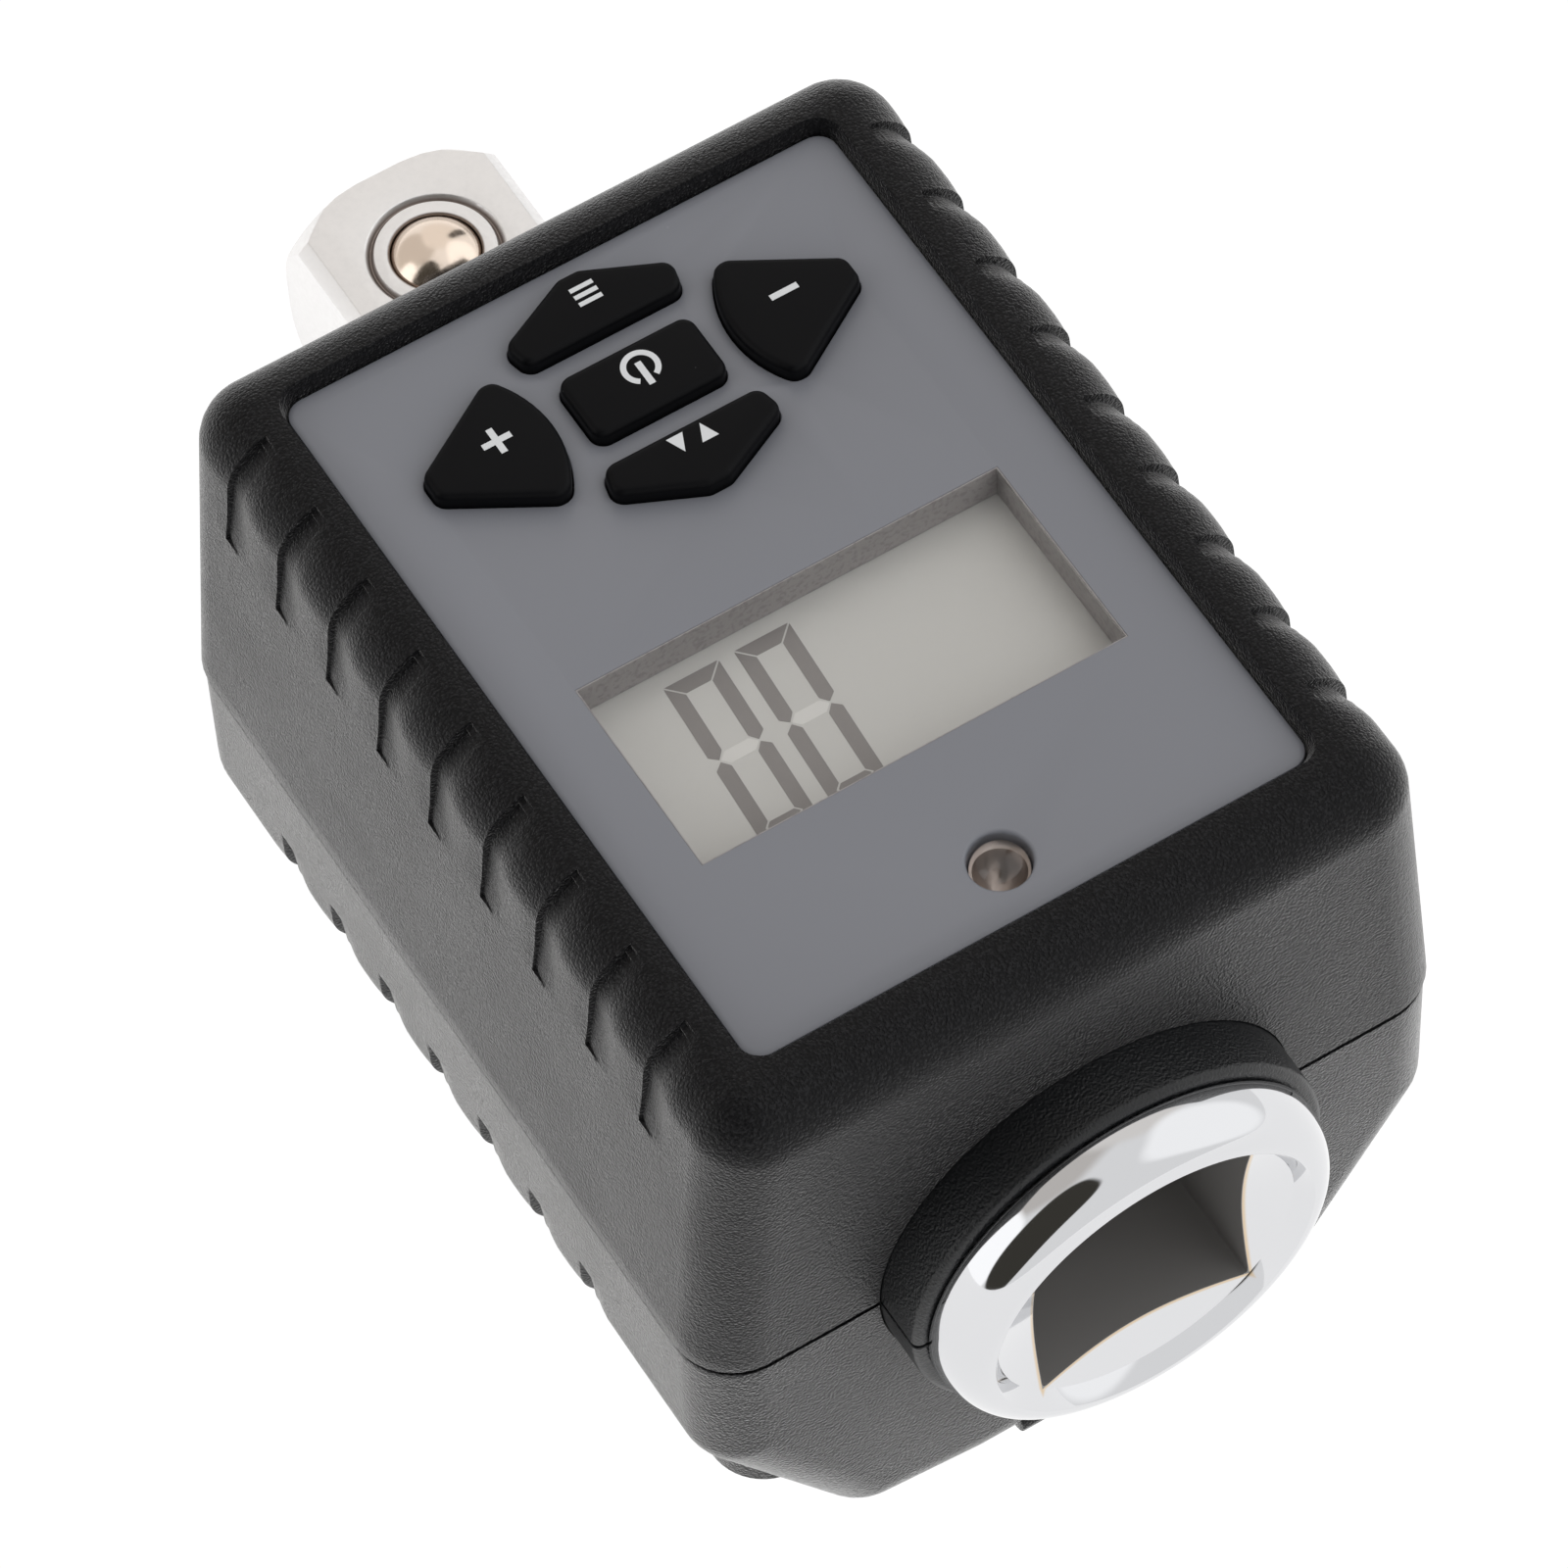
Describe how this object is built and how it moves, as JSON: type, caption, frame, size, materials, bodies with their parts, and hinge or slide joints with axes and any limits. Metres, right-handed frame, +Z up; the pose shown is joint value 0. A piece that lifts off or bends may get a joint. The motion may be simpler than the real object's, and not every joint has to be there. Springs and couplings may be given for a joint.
{
  "type": "digital torque adapter",
  "caption": "Digital torque adapter: square socket in front, square drive with sprung ball behind, boxy housing with keypad, display and battery door.",
  "frame": {"origin": "on the standing surface, under the middle of the adapter's bounding box", "axes": "+Z up through the keypad, Y along the drive axis with the socket facing -Y and the square drive at +Y"},
  "size_m": [0.0462, 0.0796, 0.047],
  "materials": {
    "shell_plastic": "fine grained black moulding",
    "collar_coat": "satin blue-black coating",
    "bush_plastic": "plain black",
    "plated_steel": "polished at the bead, satin on the square drive",
    "ball_steel": "polished",
    "spring_steel": "drawn wire",
    "gauge_foil": "foil on an amber film",
    "lead_red": "insulated wire",
    "panel_grey": "satin grey with a lighter bevelled rim",
    "tape_black": "foam adhesive",
    "window_clear": "clear",
    "bezel_plastic": "brown-grey moulding",
    "display_face": "warm grey display with dark segments",
    "reflector_white": "white",
    "strip_rubber": "layered contact rubber",
    "lamp_lens": "smoky clear dome",
    "key_rubber": "matt black silicone",
    "dome_steel": "stamped",
    "board_green": "solder mask",
    "chip_black": "moulded",
    "screw_steel": "zinc plated",
    "tray_plastic": "plain black",
    "cell_wrap": "plain blue wrap",
    "contact_metal": "nickel plated",
    "door_plastic": "fine grained black moulding"
  },
  "bodies": {
    "housing": {"upper_shell": "shell_plastic", "lower_shell": "shell_plastic", "collar_upper": "collar_coat", "collar_lower": "collar_coat", "rear_bush": "bush_plastic", "torque_shaft": "plated_steel", "retaining_ring": "spring_steel", "detent_spring": "spring_steel", "strain_gauges": "gauge_foil", "gauge_leads": "lead_red", "panel_plate": "panel_grey", "panel_tape": "tape_black", "display_window": "window_clear", "display_bezel": "bezel_plastic", "display_glass": "display_face", "display_reflector": "reflector_white", "contact_strips": "strip_rubber", "signal_lamp": "lamp_lens", "keypad_mat": "key_rubber", "key_domes": "dome_steel", "circuit_board": "board_green", "main_chip": "chip_black", "buzzer": "chip_black", "board_screws": "screw_steel", "case_screws": "screw_steel", "battery_tray": "tray_plastic", "cell_left": "cell_wrap", "cell_right": "cell_wrap", "contact_plates": "contact_metal", "contact_springs": "contact_metal", "battery_leads": "lead_red"},
    "key_plus": {"key_plus": "key_rubber"},
    "key_minus": {"key_minus": "key_rubber"},
    "key_menu": {"key_menu": "key_rubber"},
    "key_power": {"key_power": "key_rubber"},
    "key_mode": {"key_mode": "key_rubber"},
    "detent_ball": {"detent_ball": "ball_steel"},
    "battery_door": {"battery_door": "door_plastic"}
  },
  "joints": [
    {"name": "key_plus_press", "type": "slide", "parent": "housing", "child": "key_plus", "axis": [0, 0, -1], "range_m": [0, 0.0008], "stiffness_N_per_m": 1500},
    {"name": "key_minus_press", "type": "slide", "parent": "housing", "child": "key_minus", "axis": [0, 0, -1], "range_m": [0, 0.0008], "stiffness_N_per_m": 1500},
    {"name": "key_menu_press", "type": "slide", "parent": "housing", "child": "key_menu", "axis": [0, 0, -1], "range_m": [0, 0.0008], "stiffness_N_per_m": 1500},
    {"name": "key_power_press", "type": "slide", "parent": "housing", "child": "key_power", "axis": [0, 0, -1], "range_m": [0, 0.0008], "stiffness_N_per_m": 1500},
    {"name": "key_mode_press", "type": "slide", "parent": "housing", "child": "key_mode", "axis": [0, 0, -1], "range_m": [0, 0.0008], "stiffness_N_per_m": 1500},
    {"name": "detent_ball_press", "type": "slide", "parent": "housing", "child": "detent_ball", "axis": [0, 0, -1], "range_m": [0, 0.0011], "stiffness_N_per_m": 3000, "springref_m": -0.0005, "deforming": ["detent_spring"]},
    {"name": "battery_door_swing", "type": "hinge", "parent": "housing", "child": "battery_door", "pos_m": [0, 0.0149, 0.00105], "axis": [1, 0, 0], "range_deg": [0, 100]}
  ]
}
